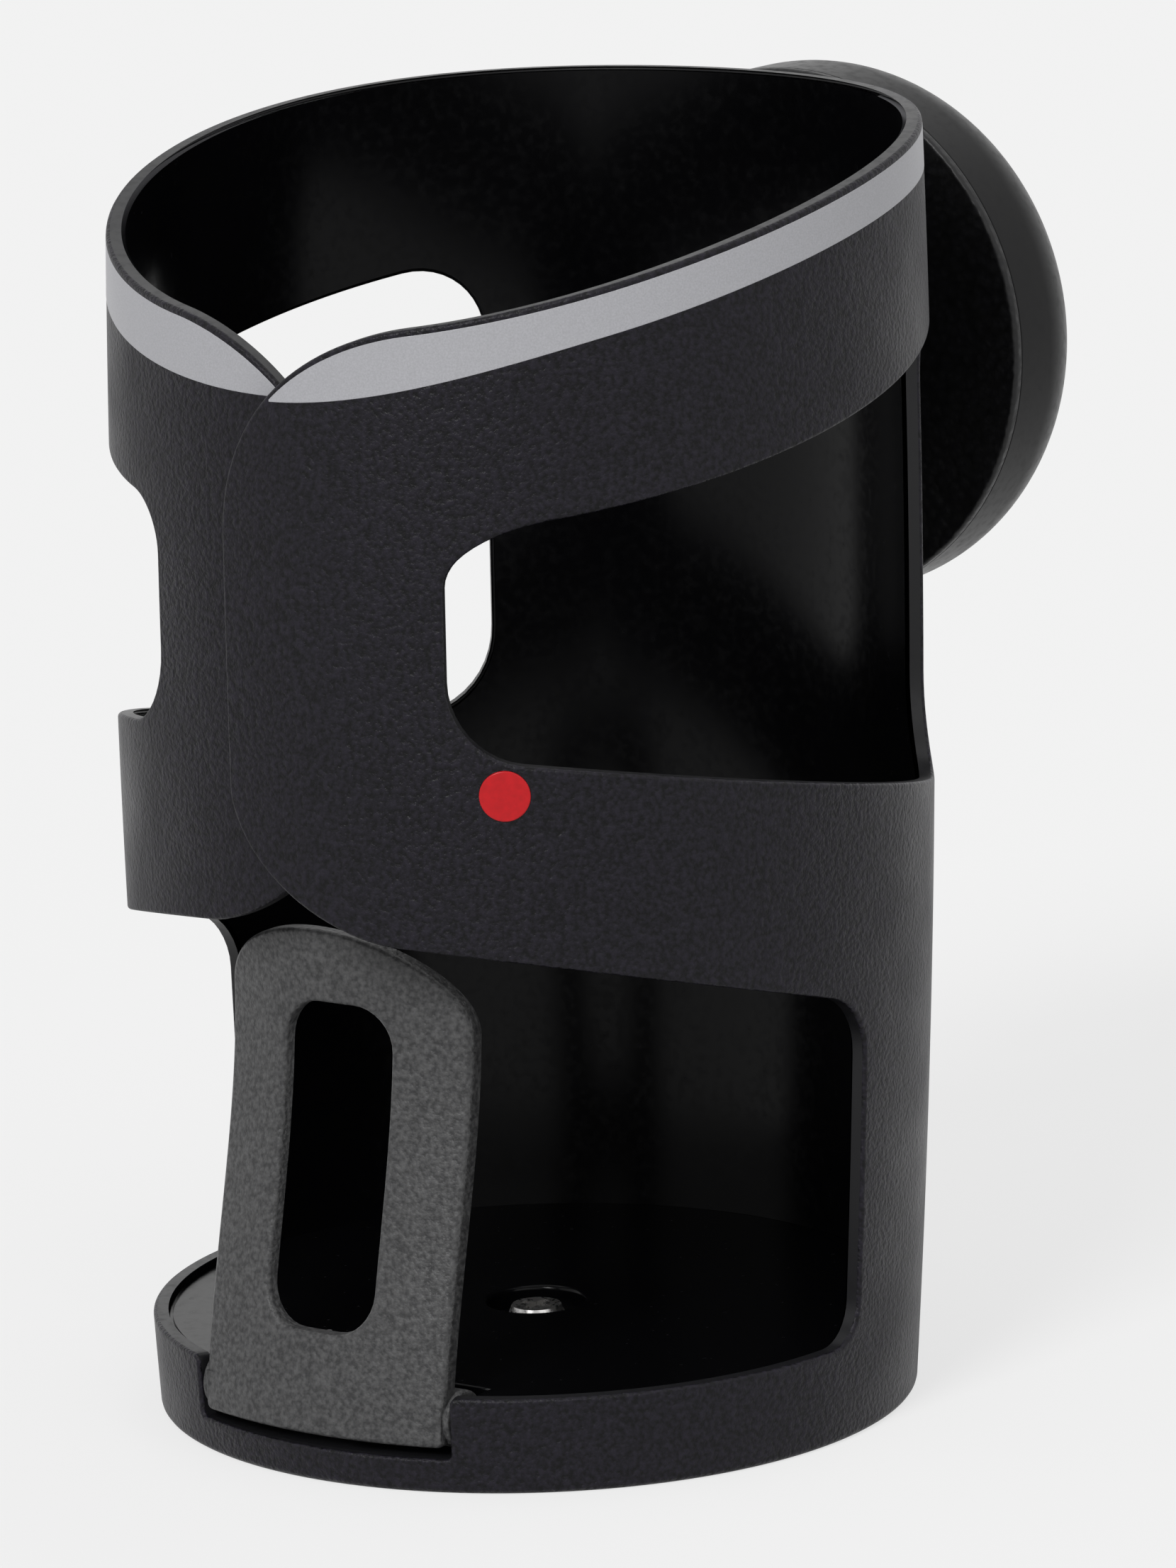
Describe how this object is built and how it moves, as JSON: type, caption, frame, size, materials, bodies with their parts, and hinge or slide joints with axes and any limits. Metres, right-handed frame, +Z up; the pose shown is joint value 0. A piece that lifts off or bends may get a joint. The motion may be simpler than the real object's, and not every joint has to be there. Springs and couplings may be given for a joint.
{
  "type": "stroller cup holder",
  "caption": "Wrap-around stroller cup holder with lapped spring arms, reflective rim strips, hinged grip flap and a round swivel mount.",
  "frame": {"origin": "centre of the flat underside of the base", "axes": "+Z up along the cup, -Y towards the seam of the arms and the flap, +Y towards the swivel mount, +X to the right as seen from the front"},
  "size_m": [0.094, 0.1233, 0.1482],
  "materials": {
    "black_plastic": "fine grained matte, glossy inside",
    "reflective_strip": "satin, light grey",
    "red_badge": "gloss",
    "grey_plastic": "grained matte, dark grey",
    "steel": "bright zinc",
    "white_plastic": "natural acetal",
    "fibre": "pressed fibre",
    "satin_black": "smooth satin",
    "brass": "turned"
  },
  "bodies": {
    "holder": {"cup_body": "black_plastic", "right_rim_strip": "reflective_strip", "left_rim_strip": "reflective_strip", "badge_dot": "red_badge", "base_cover": "black_plastic", "floor_screw": "steel", "flap_pin": "steel", "flap_spring": "steel", "friction_washer": "fibre", "retaining_washer": "steel", "pivot_screw": "steel"},
    "flap": {"grip_flap": "grey_plastic"},
    "mount": {"mount_face": "black_plastic", "swivel_bushing": "white_plastic", "mount_dome": "satin_black", "shell_screws": "steel", "mount_insert": "brass"}
  },
  "joints": [
    {"name": "flap_pivot", "type": "hinge", "parent": "holder", "child": "flap", "pos_m": [-0.0007, -0.0371, 0.0078], "axis": [1, 0, 0], "range_deg": [0, 8.4], "stiffness_Nm_per_rad": 0.15},
    {"name": "mount_swivel", "type": "hinge", "parent": "holder", "child": "mount", "pos_m": [0, 0.05793, 0.115], "axis": [0, 1, 0], "continuous": true}
  ]
}
